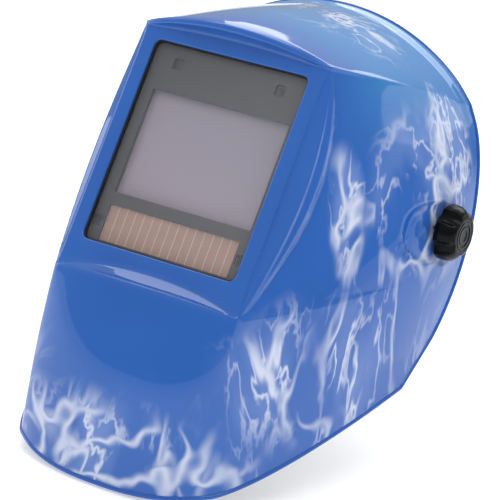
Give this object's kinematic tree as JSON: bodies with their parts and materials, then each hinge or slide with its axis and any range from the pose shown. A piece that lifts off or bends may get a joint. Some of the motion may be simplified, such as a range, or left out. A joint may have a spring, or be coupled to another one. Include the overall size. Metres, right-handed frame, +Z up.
{
  "type": "welding helmet",
  "caption": "Auto-darkening welding helmet: glossy blue moulded shell with a flat window plate, tilting on side knobs over an adjustable ratchet headgear.",
  "frame": {"origin": "middle of the tilt axis, between the two side pivots", "axes": "+X to the right of the picture (the wearer's left), -Y out of the window, +Z up"},
  "size_m": [0.2468, 0.3272, 0.2647],
  "materials": {
    "shell_blue": "gloss",
    "black_plastic": "satin",
    "knob_black": "satin",
    "mask_grey": "matte",
    "clear_lens": "clear",
    "filter_glass": "mirror-like",
    "solar_cell": "satin",
    "circuit": "satin",
    "gasket_rubber": "matte",
    "steel": "brushed",
    "pad_cloth": "woven",
    "strap_plastic": "matte",
    "washer_fibre": "matte",
    "dial_black": "matte",
    "dial_grey": "matte"
  },
  "bodies": {
    "headgear": {"headband_front": "strap_plastic", "brow_pad": "pad_cloth", "crown_strap_front": "strap_plastic", "crown_strap_rear": "strap_plastic", "strap_studs": "black_plastic", "side_arm_left": "black_plastic", "side_arm_right": "black_plastic", "arm_rivets": "steel"},
    "rear_cradle": {"rear_band": "strap_plastic", "nape_pad": "pad_cloth", "adjuster_housing": "strap_plastic", "adjuster_cover": "strap_plastic"},
    "fit_adjuster": {"fit_knob": "knob_black", "fit_pinion": "black_plastic"},
    "rack_left": {"band_rack_left": "black_plastic"},
    "rack_right": {"band_rack_right": "black_plastic"},
    "pivot_carriage": {"pivot_block_left": "black_plastic", "pivot_block_right": "black_plastic", "pivot_bolt_left": "black_plastic", "pivot_bolt_right": "black_plastic", "friction_washers": "washer_fibre"},
    "knob_left": {"tension_knob_left": "knob_black", "knob_cap_left": "knob_black"},
    "knob_right": {"tension_knob_right": "knob_black", "knob_cap_right": "knob_black"},
    "shell_unit": {"shell": "shell_blue", "pivot_bush_left": "black_plastic", "pivot_bush_right": "black_plastic", "cover_gasket": "gasket_rubber", "cover_lens": "clear_lens", "lens_holder": "black_plastic", "filter_housing": "mask_grey", "filter_mask": "mask_grey", "screen_filter": "filter_glass", "solar_panel": "solar_cell", "arc_sensors": "black_plastic", "circuit_board": "circuit", "inner_cover_lens": "clear_lens", "control_pod": "black_plastic", "gate_pin": "steel"},
    "gate": {"retaining_gate": "black_plastic"},
    "latch": {"gate_latch": "black_plastic"},
    "shade": {"shade_dial": "dial_black"},
    "sensitivity": {"sensitivity_dial": "dial_black"},
    "delay": {"delay_dial": "dial_black"},
    "button": {"test_button": "dial_grey"},
    "tray_left": {"battery_tray_left": "black_plastic", "coin_cell_left": "steel"},
    "tray_right": {"battery_tray_right": "black_plastic", "coin_cell_right": "steel"}
  },
  "joints": [
    {"name": "carriage_slide", "type": "slide", "parent": "headgear", "child": "pivot_carriage", "axis": [0, 1, 0], "range_m": [-0.006, 0.006]},
    {"name": "shell_tilt", "type": "hinge", "parent": "pivot_carriage", "child": "shell_unit", "pos_m": [0, 0, 0], "axis": [-1, 0, 0], "range_deg": [-14, 50]},
    {"name": "knob_turn_left", "type": "hinge", "parent": "pivot_carriage", "child": "knob_left", "pos_m": [0, 0, 0], "axis": [-1, 0, 0], "range_deg": [-360, 360]},
    {"name": "knob_turn_right", "type": "hinge", "parent": "pivot_carriage", "child": "knob_right", "pos_m": [0, 0, 0], "axis": [1, 0, 0], "range_deg": [-360, 360]},
    {"name": "rear_fit_slide", "type": "slide", "parent": "headgear", "child": "rear_cradle", "axis": [0, -1, 0], "range_m": [0, 0.009]},
    {"name": "fit_turn", "type": "hinge", "parent": "rear_cradle", "child": "fit_adjuster", "pos_m": [0, 0.122, 0.003], "axis": [0, 1, 0], "range_deg": [0, 86]},
    {"name": "rack_slide_left", "type": "slide", "parent": "rear_cradle", "child": "rack_left", "axis": [1, 0, 0], "range_m": [0, 0.009]},
    {"name": "rack_slide_right", "type": "slide", "parent": "rear_cradle", "child": "rack_right", "axis": [-1, 0, 0], "range_m": [0, 0.009]},
    {"name": "gate_swing", "type": "hinge", "parent": "shell_unit", "child": "gate", "pos_m": [0, -0.06693, 0.09113], "axis": [1, 0, 0], "range_deg": [0, 22]},
    {"name": "latch_slide", "type": "slide", "parent": "gate", "child": "latch", "axis": [0, 0.4226, 0.9063], "range_m": [0, 0.0025], "stiffness_N_per_m": 300, "springref_m": -0.001},
    {"name": "shade_turn", "type": "hinge", "parent": "shell_unit", "child": "shade", "pos_m": [0, -0.11208, -0.02463], "axis": [0, 0.9063, -0.4226], "range_deg": [-135, 135]},
    {"name": "sensitivity_turn", "type": "hinge", "parent": "shell_unit", "child": "sensitivity", "pos_m": [-0.014, -0.11208, -0.02463], "axis": [0, 0.9063, -0.4226], "range_deg": [-135, 135]},
    {"name": "delay_turn", "type": "hinge", "parent": "shell_unit", "child": "delay", "pos_m": [0.014, -0.11208, -0.02463], "axis": [0, 0.9063, -0.4226], "range_deg": [-135, 135]},
    {"name": "test_press", "type": "slide", "parent": "shell_unit", "child": "button", "axis": [0, -0.9063, 0.4226], "range_m": [0, 0.001], "stiffness_N_per_m": 400, "springref_m": -0.0005},
    {"name": "tray_slide_left", "type": "slide", "parent": "shell_unit", "child": "tray_left", "axis": [-1, 0, 0], "range_m": [0, 0.02]},
    {"name": "tray_slide_right", "type": "slide", "parent": "shell_unit", "child": "tray_right", "axis": [1, 0, 0], "range_m": [0, 0.02]}
  ],
  "couplings": [
    {"joint": "fit_turn", "follows": "rear_fit_slide", "rad_per_m": 166.67},
    {"joint": "rack_slide_left", "follows": "rear_fit_slide", "ratio": 1},
    {"joint": "rack_slide_right", "follows": "rear_fit_slide", "ratio": 1}
  ]
}
